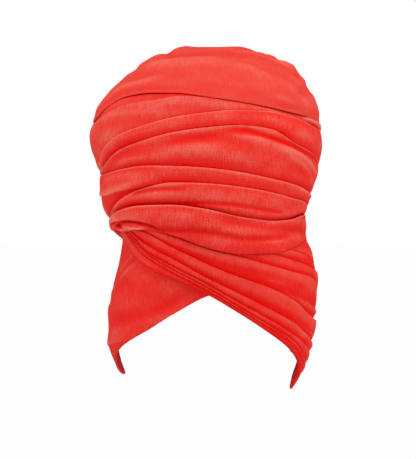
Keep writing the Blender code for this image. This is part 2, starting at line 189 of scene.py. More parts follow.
def cloth(name, azimuth, climb, level, outside, hold=0, lay=None, closed=True,
          tops=None):
    """A cloth piece from rows that run once round its thickness.

    The first rows run down the outside and the last rows run up the inside.
    tops gives the two points that close a dome, outside and inside. lay gives
    how far each point of the cloth is along and across the strip.
    """
    rows, columns = climb.shape
    # painted light and shade, carried to the colour in an attribute
    painted_light_shade = relief_light_and_shade(climb, level, outside, hold).ravel()
    azimuth = np.broadcast_to(azimuth, climb.shape)
    points = wrap_point(azimuth, climb, level).reshape(-1, 3)
    last = columns if closed else columns - 1
    bands = rows if tops is None else rows - 1
    c, r = np.meshgrid(np.arange(last), np.arange(bands), indexing="ij")
    d = (c + 1) % columns
    s = (r + 1) % rows
    faces = np.stack([r * columns + c, s * columns + c,
                      s * columns + d, r * columns + d], axis=-1)
    faces = [tuple(face) for face in faces.reshape(-1, 4).tolist()]
    if lay is None:
        lay = np.stack([azimuth * ROUND, climb], axis=-1)
    lay = lay.reshape(-1, 2)
    if tops is not None:
        points = np.concatenate([points, tops])
        lay = np.concatenate([lay, [[0, 0], [0, 0]]])
        painted_light_shade = np.append(painted_light_shade, [0, 0])
        out, under, deep = rows * columns, rows * columns + 1, (rows - 1) * columns
        for c in range(columns):
            d = (c + 1) % columns
            faces.append((out, c, d))
            faces.append((deep + c, under, deep + d))
    if not closed:
        faces.append(tuple(r * columns for r in reversed(range(rows))))
        faces.append(tuple(r * columns + columns - 1 for r in range(rows)))
    mesh = bpy.data.meshes.new(name)
    mesh.from_pydata([tuple(p) for p in points * 0.001], [], faces)
    mesh.update()
    index = np.empty(len(mesh.loops), dtype=np.int64)
    mesh.loops.foreach_get("vertex_index", index)
    starts = np.empty(len(mesh.polygons), dtype=np.int64)
    mesh.polygons.foreach_get("loop_start", starts)
    corner = lay[index].copy()
    first = np.repeat(corner[starts, 0], np.diff(np.append(starts, len(index))))
    corner[:, 0] += 360 * ROUND * np.round((first - corner[:, 0]) / (360 * ROUND))
    plane = mesh.uv_layers.new(name="lay")
    plane.data.foreach_set("uv", (corner * 0.001).ravel())
    mesh.attributes.new("relief_light_and_shade", "FLOAT", "POINT").data.foreach_set("value", painted_light_shade)
    for face in mesh.polygons:
        face.use_smooth = True
    piece = bpy.data.objects.new(name, mesh)
    bpy.context.scene.collection.objects.link(piece)
    return piece


class Shade:
    """A shader value that ordinary sums turn into Math nodes."""

    def __init__(self, tree, socket):
        self.tree = tree
        self.socket = socket

    def node(self, kind, settings=None, values=None):
        made = self.tree.nodes.new(kind)
        for key, value in (settings or {}).items():
            setattr(made, key, value)
        for key, value in (values or {}).items():
            if isinstance(value, Shade):
                self.tree.links.new(value.socket, made.inputs[key])
            else:
                made.inputs[key].default_value = value
        return made

    def maths(self, operation, first, second):
        made = self.node("ShaderNodeMath", {"operation": operation},
                         {0: first, 1: second})
        return Shade(self.tree, made.outputs[0])

    def __add__(self, other):
        return self.maths("ADD", self, other)

    def __radd__(self, other):
        return self.maths("ADD", other, self)

    def __sub__(self, other):
        return self.maths("SUBTRACT", self, other)

    def __mul__(self, other):
        return self.maths("MULTIPLY", self, other)

    def noise(self, wide, high, detail):
        """Noise over the cloth, with its grain's size along and across."""
        spread = self.node("ShaderNodeMapping", None,
                           {"Vector": self, "Scale": (1 / wide, 1 / high, 1)})
        made = self.node("ShaderNodeTexNoise", None,
                         {"Vector": Shade(self.tree, spread.outputs[0]),
                          "Scale": 1.0, "Detail": detail})
        return Shade(self.tree, made.outputs[0])


GRAIN = {
    # noise in the yarn: size along and across the strip in metres, detail, and
    # how much it shifts the colour
    "streak": (0.0010, 0.0070, 3.0, 0.36),
    "fleck": (0.0006, 0.0011, 2.0, 0.5),
    "cloud": (0.022, 0.016, 2.0, 0.35),
}
# middle of the colour ramp, and how far the painted light and shade move along it
TONE_MIDDLE, PAINTED_LIGHT_SHADE_WEIGHT = 0.47, 0.24
DEEP_AT, BODY_AT, LIGHT_AT = 0.1, 0.5, 1.0
RIB_SCALE, RIB_WAVER = 420.0, 1.2
RIB_HIGH, STREAK_HIGH, FLECK_HIGH = 0.4, 0.9, 0.7
WEAVE_STRENGTH, WEAVE_HIGH = 0.5, 0.0003


def jersey(name, deep, body, light):
    """Heathered cotton jersey: fine ribs across the strip, and matt.

    Its colour carries painted shade where the cloth lies low and painted light where
    it stands out.
    """
    material = bpy.data.materials.new(name)
    material.use_nodes = True
    tree = material.node_tree
    surface = tree.nodes["Principled BSDF"]
    lay = Shade(tree, tree.nodes.new("ShaderNodeTexCoord").outputs["UV"])
    painted_light_shade = lay.node("ShaderNodeAttribute", {"attribute_name": "relief_light_and_shade"})
    # painted shade in hollows and painted light on ridges and rims, then random yarn
    # tone
    tone = TONE_MIDDLE + Shade(tree, painted_light_shade.outputs["Fac"]) * PAINTED_LIGHT_SHADE_WEIGHT
    grain = {}
    for key, (wide, high, detail, shift) in GRAIN.items():
        grain[key] = lay.noise(wide, high, detail)
        tone = tone + (grain[key] - 0.5) * shift
    ramp = lay.node("ShaderNodeValToRGB", None, {"Fac": tone})
    stops = ramp.color_ramp.elements
    stops[0].position, stops[0].color = DEEP_AT, (*deep, 1)
    stops[1].position, stops[1].color = LIGHT_AT, (*light, 1)
    stops.new(BODY_AT).color = (*body, 1)
    tree.links.new(ramp.outputs["Color"], surface.inputs["Base Color"])
    rib = lay.node("ShaderNodeTexWave", {"bands_direction": "X"},
                   {"Vector": lay, "Scale": RIB_SCALE, "Distortion": RIB_WAVER,
                    "Detail": 1.0})
    weave = (Shade(tree, rib.outputs["Fac"]) * RIB_HIGH
             + grain["streak"] * STREAK_HIGH + grain["fleck"] * FLECK_HIGH)
    bump = lay.node("ShaderNodeBump", None,
                    {"Height": weave, "Strength": WEAVE_STRENGTH,
                     "Distance": WEAVE_HIGH})
    tree.links.new(bump.outputs["Normal"], surface.inputs["Normal"])
    surface.inputs["Roughness"].default_value = 0.7
    surface.inputs["Specular IOR Level"].default_value = 0.05
    return material


def finish_cloth(piece, node, slot, material):
    """Give a piece its material, attach it to the root body and hide its CAD node. The
    slot argument is not used.
    """
    piece.data.materials.append(material)
    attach(piece, "root")
    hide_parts(node)


# stations round the head, and the heights of the visible hems there
CROSS_AZIMUTHS = (-84, -60, -50, -45, -38, -30, -15, 0, 15, 30, 45, 60, 75, 90,
                  101, 112, 150, 180)
CROSS_HEM = (-131.3, -131.8, -135, -149, -156.5, -163, -171.6, -182.3, -196.9, -212.3,
             -225.5, -238, -249, -257, -261, -238, -208, -181)
PANEL_AZIMUTHS = (-240, -210, -180, -150, -114, -102, -90, -75, -60, -45, -30,
                  -15, 0, 12)
PANEL_HEM = (-224, -203, -188, -202, -228, -249.5, -247, -240, -230, -221,
             -211, -197.4, -184.4, -178.6)
V_AZIMUTH = -2       # where the two hems cross over the brow
NAPE_AZIMUTH = 125   # where the side turn comes out from under the band
CAP_LIFT = ((0, 55, 78, 112, 130, 180), (5, 5, 36, 36, 16, 16))


def cap_hem(azimuth):
    """Lower edge of the first turn, a lift inside the visible hems."""
    last = PANEL_AZIMUTHS[-1]
    turned = np.where(azimuth > last, azimuth - 360, azimuth)
    panel = curve(PANEL_AZIMUTHS, PANEL_HEM, turned)
    cross = curve(CROSS_AZIMUTHS, CROSS_HEM, azimuth)
    panel = np.where((azimuth > V_AZIMUTH) & (azimuth < NAPE_AZIMUTH), 0, panel)
    cross = np.where(azimuth < V_AZIMUTH, 0, cross)
    return np.minimum(panel, cross) + curve(*CAP_LIFT, np.abs(azimuth))


CAP_WALL = 1.2
CAP_ROWS = 70
TOP_PART = 0.97             # how far up to the head's top the rows go
TOP_MIDDLE = (0.3, -0.3)    # millimetres right and back of the origin
hem = climb_at(cap_hem(RING))[None, :]
up = np.linspace(0, TOP_PART, CAP_ROWS)[:, None]
climb = hem + (CLIMB[-1] - hem) * np.concatenate([up[::-1], up])
level = np.repeat([CAP_WALL, 0.0], CAP_ROWS)[:, None] + np.zeros_like(climb)
cap = cloth("first_turn", RING, climb, level, CAP_ROWS,
            tops=[(*TOP_MIDDLE, CAP_WALL), (*TOP_MIDDLE, 0.0)])
# The first turn's colours are a darker copy of the jersey: painted shade for the
# inside of the wrap.
finish_cloth(cap, "under_cap", "cap_jersey",
             jersey("cap_cloth_shaded", (0.50, 0.010, 0.008), (0.62, 0.020, 0.013),
                    (0.72, 0.040, 0.026)))


# The cloth over the crown: the strip is laid across the gathered hair and its
# lower edge is folded under, so it rolls over the turns below. Soft folds run
# over it from side to side.
TURN_AZIMUTHS = (-90, -75, -68, -60, -45, -30, -15, 0, 15, 30, 45, 60, 75, 90,
                 120, 150, 180, 210, 240)
TURNS = {
    # heights of the turns' visible edges round the head, in millimetres
    "crown_edge": (-51.5, -50.5, -48, -43, -36.8, -34.8, -35, -37.8, -40.5, -43.8,
                   -47, -48.8, -50.5, -53, -58, -64, -67, -64, -58),
    "second_top": (-88.5, -87, -81, -72.8, -63.3, -57.6, -52.2, -49.1, -47.1,
                   -47.4, -50.2, -54.6, -57.5, -60.5, -72, -82, -88, -89, -89),
    "broad_top": (-90, -88.6, -85.5, -82.5, -73.6, -67.9, -62.5, -59.6, -58,
                  -59.6, -69, -73.8, -78, -84, -94, -102, -106, -104, -97),
    "brow_top": (-91.8, -90.6, -90.3, -90, -88, -86.1, -87.2, -88.8, -91.8, -95.5,
                 -98.3, -101.2, -104, -108, -115, -121, -124, -120, -109),
    "temple_top": (-125.5, -122, -120.6, -117.6, -110.6, -103.8, -99.6, -100.3,
                   -102.5, -105.4, -108.6, -110.3, -113, -117, -126, -135, -140,
                   -135, -122),
    "front_top": (-130, -126.5, -123.6, -120.6, -116.8, -115, -115.6, -119.2,
                  -125, -127.8, -126, -122, -121, -124, -136, -148, -155, -148,
                  -130),
    "front_hem": (-136, -135.4, -134.8, -134, -132.8, -132, -137.4, -147.2,
                  -152.8, -153.4, -150.8, -147.5, -146, -148, -157, -167, -171,
                  -161, -143),
}
EDGE_LEVEL = 7.0    # inner side of the crown's folded edge, off the head
FADE_PART = 0.16    # part of a fold's length over which each end fades
RIPPLE_WAVES = 12
CROWN_RIPPLE, TOP_RIPPLE, TURN_RIPPLE = 0.10, 0.12, 0.16


def around(values, azimuth):
    """A value of a table at TURN_AZIMUTHS, closed round the head."""
    stations = np.array(TURN_AZIMUTHS, float)
    return curve(np.concatenate([stations - 360, stations, stations + 360]),
                 np.tile(np.array(values, float), 3), azimuth)


def fold_rise(folds, along, across):
    """Height that folds add to the cloth.

    Each fold has a line, given by stations along the cloth and places across
    it, a rise, and how far it spreads above and below the line.
    """
    total = 0.0
    for stations, places, rise, above, below in folds:
        t = across - curve(stations, places, along)
        part = np.clip((along - stations[0]) / (stations[-1] - stations[0]), 0, 1)
        end = np.clip(np.minimum(part, 1 - part) / FADE_PART, 0, 1)
        spread = np.where(t > 0, above, below)
        total = total + (rise * end * end * (3 - 2 * end)
                         * np.exp(-(t / spread) ** 2))
    return total


def ripples(azimuth, climb, seed, amount):
    """Long shallow wrinkles that run round with the winding."""
    chance = np.random.default_rng(seed)
    total = 0.0
    for _ in range(RIPPLE_WAVES):
        turns = chance.integers(1, 7)
        long = chance.uniform(8.0, 32.0)    # millimetres from wave to wave
        total = total + (amount * (long / 20) * chance.uniform(0.4, 1.0)
                         * np.sin(np.radians(azimuth) * turns
                                  + 2 * math.pi * climb / long
                                  + chance.uniform(0, 2 * math.pi)))
    return total


CROWN_FOLDS = (
    # folds from side to side on the flat cloth: places right of the crown's
    # middle, forward of it, rise, spread in front and behind, in millimetres
    ((-62, -46, -33, -24, -8, 25, 42, 54, 65, 84),
     (40, 44, 50, 53.5, 59, 61, 62, 58, 54, 48), 2.0, 9.0, 7.0),
    ((-34, -19, -5, 17, 34), (44, 44, 46, 43, 40), -1.9, 5.0, 5.0),
    ((-95, -80, -67, -58, -45, -30), (40, 44, 50, 58, 65, 68), 1.2, 4.5, 3.5),
    ((-50, -35, -12, 6, 21, 34, 60), (78, 82, 84, 85, 85, 83, 76), -1.1, 5.0, 4.0),
    ((52, 65, 81, 95), (74, 70, 57, 45), 1.2, 4.0, 3.0),
    ((-60, -45, -30, -15), (22, 26, 30, 26), 1.8, 6.0, 6.0),
    ((20, 32, 49, 62, 76), (36, 34, 31, 26, 20), 1.3, 1.4, 6.0),
    ((30, 45, 60, 76), (28, 25, 21, 14), 1.0, 1.2, 4.0),
    ((30, 45, 60, 76), (20, 17, 13, 8), 0.9, 1.2, 4.0),
    ((-80, -50, -20, 20, 60, 90), (-2, -14, -18, -16, -6, 0), 1.3, 4.0, 9.0),
    ((-85, -50, -10, 30, 80), (-34, -46, -50, -44, -30), 1.4, 2.4, 9.0),
    ((-70, -30, 20, 70), (-74, -82, -80, -66), 1.2, 2.4, 8.0),
)
CROWN_RUNS = (
    # folds from back to front: places forward of the crown's middle, right of
    # it, rise, spread to the right and to the left
    ((-40, 0, 20, 38, 50), (-45, -43.5, -43, -40, -34), 0.3, 5.0, 5.5),
    ((-40, 0, 15, 30, 44), (-36, -34.5, -33, -30, -26), -2.2, 5.0, 4.0),
    ((-30, 0, 20, 38), (-22, -20, -18, -12), 1.2, 6.0, 3.0),
    ((-30, 0, 17, 36), (22, 22, 24, 18), 0.9, 4.0, 7.0),
    ((-30, 0, 15, 28), (36, 36, 35, 33), -2.2, 5.0, 5.0),
    ((-30, 0, 12, 24, 36), (49, 49.5, 48, 44, 38), -1.6, 5.0, 4.0),
    ((-30, 0, 12, 24, 36), (58, 58.5, 57, 52, 44), 1.3, 3.0, 3.4),
    ((-26, 0, 20, 40), (66, 67, 66, 60), -1.2, 5.0, 4.5),
    ((-30, 0, 20, 40, 58), (75, 77, 77, 74, 68), -2.2, 4.5, 4.5),
    ((-40, 0, 20, 44), (-66, -68, -66, -58), 0.7, 3.0, 6.0),
)
# the cloth is thick in the middle, where the layers cross, and thin at the edge
SWELL = ((0, 0.03, 0.09, 0.22, 0.38, 0.54, 0.70, 0.86, 1.0),
         (1.4, 1.4, 2.5, 2.5, 2.3, 2.3, 2.7, 3.7, 4.0))
CROWN_LEAST, CROWN_MOST = 1.0, 3.95
EDGE_ROLL = np.radians(np.array([80, 60, 40, 20, 0, -20, -40, -60, -80]))[:, None]

edge = climb_at(around(TURNS["crown_edge"], RING))[None, :]
peak = CLIMB[-1]
# part of the way from the edge up to the middle, closer together at both ends
part = np.concatenate([[TOP_PART, 0.955], np.linspace(0.94, 0.075, 92),
                       [0.066, 0.058, 0.05, 0.043, 0.036, 0.03]])[:, None]
down = part * (peak - edge) + edge
turn = np.radians(RING)[None, :]
flat_right = (peak - down) * np.sin(turn)
flat_front = (peak - down) * np.cos(turn)
rise = (fold_rise(CROWN_FOLDS, flat_right, flat_front)
        + fold_rise(CROWN_RUNS, flat_front, flat_right))
rise = rise + ripples(np.degrees(turn), down, 3, CROWN_RIPPLE) * (1 - part)
# the folds flatten at the edge, and fade out before the middle
near_edge = np.clip((part - 0.02) / 0.08, 0.25, 1)
rise = rise * near_edge * np.clip((TOP_PART - part) / 0.1, 0, 1)
crown_out = EDGE_LEVEL + np.maximum(curve(*SWELL, part) + rise, CROWN_LEAST)
# the folded edge rolls from the outside round to the inside
half = (crown_out[-1:] - EDGE_LEVEL) / 2
roll_climb = edge + half * (1 - np.cos(EDGE_ROLL))
roll_level = EDGE_LEVEL + half + half * np.sin(EDGE_ROLL)
inner = np.linspace(part[-1], TOP_PART, 30) * (peak - edge) + edge
climb = np.concatenate([down, roll_climb, inner])
level = np.concatenate([crown_out, roll_level, np.full_like(inner, EDGE_LEVEL)])
reach = peak - climb
lay = np.stack([reach * np.sin(turn), reach * np.cos(turn)], axis=-1)
crown = cloth("crown", RING, climb, level, len(down), lay=lay,
              tops=[(*TOP_MIDDLE, EDGE_LEVEL + CROWN_MOST),
                    (*TOP_MIDDLE, EDGE_LEVEL)])
# The crown's colours are a paler copy of the jersey: painted light where the crown
# faces the light overhead.
finish_cloth(crown, "crown_wrap", "crown_jersey",
             jersey("crown_cloth_lit", (0.86, 0.030, 0.022), (0.87, 0.070, 0.050),
                    (0.90, 0.200, 0.145)))


# Five turns are wound one over the next, from the crown down to the temples.
# Each shows the fold along its upper edge, and its lower part goes on under the
# turn below, which lies over it.
TUCKED_LEVEL = 3.2          # where a turn lies under the next one, off the head
TUCKED_WALL, TUCKED_FLARE = 1.5, 1.6
TUCKED_ROWS = np.array([0.15, 0.4, 0.7, 1.0])[:, None]    # parts of the way down
TURN_ROLL = np.radians(np.array([-60, -30, 0, 25, 50, 75]))[:, None]
# rows above the next turn's edge, closer together near it, in millimetres
CREASE_ROWS = np.array([0.0, 0.35, 0.7, 1.1, 1.6, 2.2, 3.0])[:, None]
CREASE_POWER = 1.3
# a turn is at most this far off the head at the next turn's edge, may stand
# out more above it, and reaches that within a few millimetres
BRINK_LEVEL, BRINK_RISE, BRINK_REACH = 6.75, 2.65, 0.9
LEAST_WALL = 0.45
INSIDE_ROWS = 12


def turn_rows(top, low, after, share, base, under, lip, depth, width, puff,
              folds, seed, merge=0.0):
    """Rows once round the section of one turn: climbs and levels.

    The roll of the upper fold comes first, then the outside down to the next
    turn's edge and under it, then the inside back up. top, low and after are
    the heights of this turn's edge and of the next two, and share is how far
    it goes on from the one to the other. base and under are the levels of its
    inside at the top and the foot. lip is the thickness of the roll, and depth
    and width are the crease's. merge is 1 where this turn and the next one run
    into one cloth with a shallow line.
    """
    high = climb_at(top)[None, :]
    foot = climb_at(low)[None, :]
    stop = climb_at(low + share * (after - low))[None, :]
    half = lip / 2
    roll_climb = high - half + half * np.cos(TURN_ROLL)
    roll_level = base + half + half * np.sin(TURN_ROLL)
    start = high - half
    span = np.maximum(start - foot, 0.4)
    near = CREASE_ROWS * np.minimum(1.0, span / 10)
    run = np.linspace(0, 1, 44)[:, None]
    middle = (start - 0.4) + (foot + near[-1:] * 1.2 - start + 0.4) * run
    body = np.concatenate([start, middle, foot + near[::-1]])
    away = start - body
    above = body - foot
    soft = (1 - np.exp(-away / 3.5)) * (1 - np.exp(-above / 4))
    out = base + lip + puff * soft
    out = out + fold_rise(folds, np.broadcast_to(RING, body.shape), body)
    out = out + ripples(RING[None, :], body, seed, TURN_RIPPLE) * soft
    out = out - depth * np.exp(-(above / width) ** CREASE_POWER)
    brink = (BRINK_LEVEL + base - EDGE_LEVEL + 0.65 * merge
             + BRINK_RISE * (1 - np.exp(-above / (BRINK_REACH - 0.6 * merge))))
    if under is not None:
        out = np.minimum(out, brink + 0.25 * above)
    part = np.clip(1 - above / (start - foot), 0, 1)
    beneath = base - (base - under if under is not None else 0) * part ** 2.2 * 0.9
    out = np.maximum(out, beneath + LEAST_WALL)
    if under is None:
        return high, body, out, roll_climb, roll_level
    hidden = foot - (foot - stop) * TUCKED_ROWS
    hidden_out = (TUCKED_LEVEL + TUCKED_WALL + TUCKED_FLARE * (1 - TUCKED_ROWS) ** 2
                  + np.zeros_like(hidden))
    back = np.linspace(1, 0, INSIDE_ROWS)[:, None]
    inside = stop + (high - half - stop) * (1 - back)
    depth_in = np.clip((inside - foot) / (high - half - foot), 0, 1)
    inside_level = under + (base - under) * depth_in ** 0.55
    climb = np.concatenate([roll_climb, body, hidden, inside])
    level = np.concatenate([roll_level, out, hidden_out, inside_level])
    return climb, level, len(roll_climb), len(roll_climb) + len(body)


def climbs(heights):
    return tuple(climb_at(np.array(heights, float)))


# Each fold of a turn is written as its azimuths, its heights there, its rise,
# and its spread above the line and below it, in millimetres.
TOP_FOLDS = (
    ((-80, -67, -57.5, -49.5, -40, -30.5, -22, -13.5, -1, 12),
     climbs((-58, -53.1, -49.1, -45.7, -42.9, -41.5, -39.7, -37.9, -38.5, -41)),
     1.2, 0.45, 8.0),
    ((52, 64, 76, 90, 104), climbs((-50, -52, -53.5, -55, -58)), 2.0, 3.0, 1.6),
    ((104, 130, 160, 179), climbs((-64, -72, -78, -80)), 1.2, 0.6, 7.0),
)
SECOND_FOLDS = (
    ((-66, -50, -30, -10), climbs((-76, -68, -61, -55)), 0.4, 4.0, 3.0),
    ((20, 35, 50, 66), climbs((-52, -57, -64, -70)), 0.7, 6.0, 5.0),
    ((110, 140, 165, 179), climbs((-78, -86, -92, -95)), 0.9, 0.7, 6.0),
)
BROAD_FOLDS = (
    ((-58, -45, -39, -32, -25.5, -17, -10, -3, 6, 14),
     climbs((-84, -78, -74.8, -73.3, -72.3, -71.4, -68.4, -66.5, -64.5, -63)),
     -1.3, 3.4, 5.0),
    ((4, 10.5, 17.5, 25, 30.5, 40.5, 52, 66.5, 80),
     climbs((-62.5, -61.4, -61.6, -64, -66.5, -70, -73, -77, -81)),
     -1.7, 2.2, 2.8),
    ((10, 18, 24, 35, 45, 54.5, 67.5, 80),
     climbs((-65.5, -66.5, -67.4, -70.9, -75.3, -80.7, -88, -94)), 1.5, 2.2, 6.5),
    ((38, 44.5, 53, 63, 76), climbs((-78, -80.7, -86.1, -92.4, -98)), 0.7, 1.6, 4.0),
    ((-60, -30, 0, 30), climbs((-86, -80, -79, -84)), 0.5, 8.0, 6.0),
    ((100, 130, 160, 179), climbs((-96, -105, -112, -114)), 1.1, 0.8, 7.0),
)
BROW_FOLDS = (
    ((-82, -76, -68, -57, -45.5, -37, -28, -18),
     climbs((-106, -106, -106.4, -106.3, -104.6, -103.3, -101.6, -99.8)),
     1.8, 5.5, 1.0),
    ((48, 62, 78, 92, 106), climbs((-100, -102.5, -105, -106.5, -108)), 1.3, 3.0, 1.6),
    ((-66, -50, -35, -20), climbs((-98, -95, -93, -92.5)), 0.5, 4.0, 4.0),
    ((-30, 0, 30, 60), climbs((-96, -97, -101, -106)), -0.5, 3.0, 3.0),
    ((95, 125, 155, 179), climbs((-114, -122, -129, -132)), 1.0, 0.7, 6.0),
    ((-179, -150, -120, -100), climbs((-132, -130, -122, -112)), 1.0, 0.7, 6.0),
)
TEMPLE_FOLDS = (
    ((-36, -30, -24, -17, -8), climbs((-107, -105.6, -104.7, -104.4, -104.6)),
     -1.1, 1.6, 1.8),
    ((-14, -4, 9, 19, 28, 40), climbs((-115.2, -115, -115.8, -117.7, -119.4, -121)),
     -1.1, 2.2, 1.6),
    ((95, 125, 155, 179), climbs((-126, -136, -144, -148)), 0.9, 0.7, 6.0),
)
TUCK = (
    ((-70, -62, -55, -48, -39, -31, -26, -22, -18),
     climbs((-128, -126.6, -125.6, -125.3, -125.3, -127.2, -129.2, -131.4, -134)),
     -3.0, 0.8, 1.2),
    ((-66, -57, -50, -42, -34, -26), climbs((-126.4, -126.9, -128, -129.2, -130.8,
                                             -132)), 1.0, 0.7, 0.9),
    ((-64, -56, -50, -42, -33, -24), climbs((-131.2, -131.0, -131.2, -131.2, -131.4,
                                             -132)), 1.2, 1.0, 1.2),
)
FRONT_FOLDS = TUCK + (
    ((0, 11.5, 22, 31, 47.5, 66), climbs((-123.5, -128.2, -131.7, -134.2, -133.7,
                                         -131)), -0.8, 5.0, 4.0),
    ((-26, -17, -10.5, -0.5, 9, 15, 22, 31, 44),
     climbs((-133, -134.2, -134.9, -136.2, -139.2, -141.2, -141.6, -141.1, -140)),
     -1.2, 3.4, 2.6),
    ((-60, -45, -25, 0), climbs((-121, -119.5, -120, -126)), 0.6, 4.0, 5.0),
    ((95, 125, 155, 179), climbs((-140, -149, -158, -163)), 1.0, 0.7, 6.0),
    ((-179, -150, -120, -95), climbs((-166, -160, -146, -134)), 1.0, 0.7, 6.0),
)
LIP = {
    # thickness of the roll along each turn's upper edge, at TURN_AZIMUTHS
    "second": (1.0, 1.2, 1.7, 2.0, 1.9, 1.8, 1.8, 1.8, 1.8, 1.9, 2.0, 2.1, 2.1,
               2.0, 2.0, 2.0, 2.0, 2.0, 2.0),
    "broad": (0.6, 0.8, 1.6, 2.2, 2.0, 1.9, 1.9, 1.9, 1.8, 1.7, 1.6, 1.6, 1.7,
              1.8, 2.0, 2.0, 2.0, 2.0, 2.0),
    "brow": (1.2, 1.4, 1.8, 2.0, 2.0, 2.0, 2.0, 2.0, 2.0, 2.1, 2.2, 2.4, 2.4,
             2.2, 2.0, 2.0, 2.0, 2.0, 2.0),
    "temple": (1.5, 1.5, 1.5, 1.5, 1.6, 1.8, 1.9, 1.9, 1.9, 1.9, 2.0, 2.1, 2.1,
               2.0, 1.8, 1.8, 1.8, 1.8, 1.8),
}
GAP = {
    # depth of the crease above the next turn's edge, at TURN_AZIMUTHS
    "top": (1.8, 1.8, 1.6, 1.2, 1.0, 0.9, 0.9, 0.9, 1.0, 1.4, 2.2, 2.8, 3.2,
            3.2, 1.4, 1.4, 1.4, 1.4, 1.2),
    "second": (1.8, 2.2, 2.8, 2.6, 2.0, 1.3, 0.9, 0.7, 0.6, 0.6, 0.7, 0.7, 0.8,
               1.2, 1.6, 1.6, 1.6, 1.6, 1.6),
    "broad": (2.4, 2.2, 2.2, 2.2, 2.2, 2.2, 2.0, 1.6, 1.7, 1.8, 2.0, 2.0, 2.3,
              2.3, 2.0, 1.8, 1.8, 1.8, 2.0),
    "brow": (2.4, 2.8, 3.0, 3.0, 2.6, 2.2, 2.0, 1.7, 1.4, 1.4, 1.5, 1.9, 2.2,
             2.0, 1.8, 1.8, 1.8, 1.8, 2.0),
    "temple": (1.4, 1.8, 2.0, 2.4, 2.7, 2.7, 2.7, 2.2, 1.6, 1.6, 1.7, 1.9, 1.9,
               1.8, 1.8, 1.8, 1.8, 1.8, 1.8),
}
ring = {name: around(heights, RING) for name, heights in TURNS.items()}

# the narrow turn under the crown's edge has both its edges hidden
COVERED = 5.0       # how far it goes up under the crown
HIDDEN_PART = 0.7   # part of the next turn's height that it goes on under it
TOP_WALL, TOP_PUFF, TOP_PUFF_REACH = 3.5, 1.8, 1.6
TOP_CREASE_REACH = 3.4
TOP_TUCKED_WALL, TOP_EDGE_WALL = 2.2, 1.6
high = climb_at(ring["crown_edge"] + COVERED)[None, :]
foot = climb_at(ring["second_top"])[None, :]
stop = climb_at(ring["second_top"]
                + HIDDEN_PART * (ring["broad_top"] - ring["second_top"]))[None, :]
brow = climb_at(ring["crown_edge"])[None, :]
run = np.linspace(0, 1, 48)[:, None]
body = np.concatenate([high, brow + (foot - brow) * run,
                       foot - (foot - stop) * TUCKED_ROWS])
above = np.maximum(body - foot, 0)
puff = 1 - np.exp(-np.maximum(brow - body, 0) / TOP_PUFF_REACH)
out = (TUCKED_LEVEL + TOP_WALL + TOP_PUFF * puff
       + fold_rise(TOP_FOLDS, np.broadcast_to(RING, body.shape), body)
       + ripples(RING[None, :], body, 11, TOP_RIPPLE))
crease = np.exp(-(above / TOP_CREASE_REACH) ** CREASE_POWER)
out = out - around(GAP["top"], RING) * crease
brink = BRINK_LEVEL + BRINK_RISE * (1 - np.exp(-above / BRINK_REACH))
out = np.minimum(out, brink)
out = np.where(body < foot, TUCKED_LEVEL + TOP_TUCKED_WALL, out)
out[0] = TUCKED_LEVEL + TOP_EDGE_WALL
back = np.linspace(0, 1, INSIDE_ROWS)[:, None]
inside = stop + (high - stop) * back
climb = np.concatenate([body, inside])
level = np.concatenate([out, np.full_like(inside, TUCKED_LEVEL)])
top_band = cloth("top_turn", RING, climb, level, len(body))
# The top turn's colours are a paler copy of the jersey: painted light from overhead on
# the upper turns.
finish_cloth(top_band, "top_band", "top_jersey",
             jersey("top_cloth", (0.86, 0.006, 0.005), (0.87, 0.055, 0.039),
                    (0.91, 0.270, 0.195)))

# the second turn merges with the next one at the right of the brow
MERGE = curve((8, 30, 84, 104), (0, 1, 1, 0), RING)[None, :]
# the last of the five lies over the hidden part of the one before it
TEMPLE_UNDER = 5.0
EDGES = ("second_top", "broad_top", "brow_top", "temple_top", "front_top",
         "front_hem")
WOUND = (
    # name of the turn, level of its foot, how far it goes on, folds, how much
    # the cloth puffs out, reach of the crease below it, seed, width of the
    # strip in metres, and the piece that it rests on
    ("second", TUCKED_LEVEL, HIDDEN_PART, SECOND_FOLDS, 0.7, 3.0, 21, 0.035,
     "first_turn"),
    ("broad", TUCKED_LEVEL, HIDDEN_PART, BROAD_FOLDS, 1.0, 6.5, 22, 0.045,
     "first_turn"),
    ("brow", TUCKED_LEVEL, HIDDEN_PART, BROW_FOLDS, 0.9, 4.2, 23, 0.037,
     "first_turn"),
    ("temple", TEMPLE_UNDER, 0.4, TEMPLE_FOLDS, 0.8, 3.4, 24, 0.025, "brow_turn"),
)
for place, (key, under, share, folds, puff, wide, seed, strip, rests_on) in (
        enumerate(WOUND)):
    own, following, after = EDGES[place:place + 3]
    climb, level, roll_rows, outside = turn_rows(
        ring[own], ring[following], ring[after], share, EDGE_LEVEL, under,
        around(LIP[key], RING)[None, :], around(GAP[key], RING)[None, :], wide,
        puff, folds, seed, MERGE if key == "second" else 0.0)
    if key == "temple":
        level = np.maximum(level, TEMPLE_UNDER)
    piece = cloth(key + "_turn", RING, climb, level, outside, roll_rows)
    finish_cloth(piece, key + "_band", key + "_jersey",
                 jersey(key + "_cloth", (0.88, 0.002, 0.002), (0.89, 0.037, 0.026),
                        (0.93, 0.240, 0.175)))


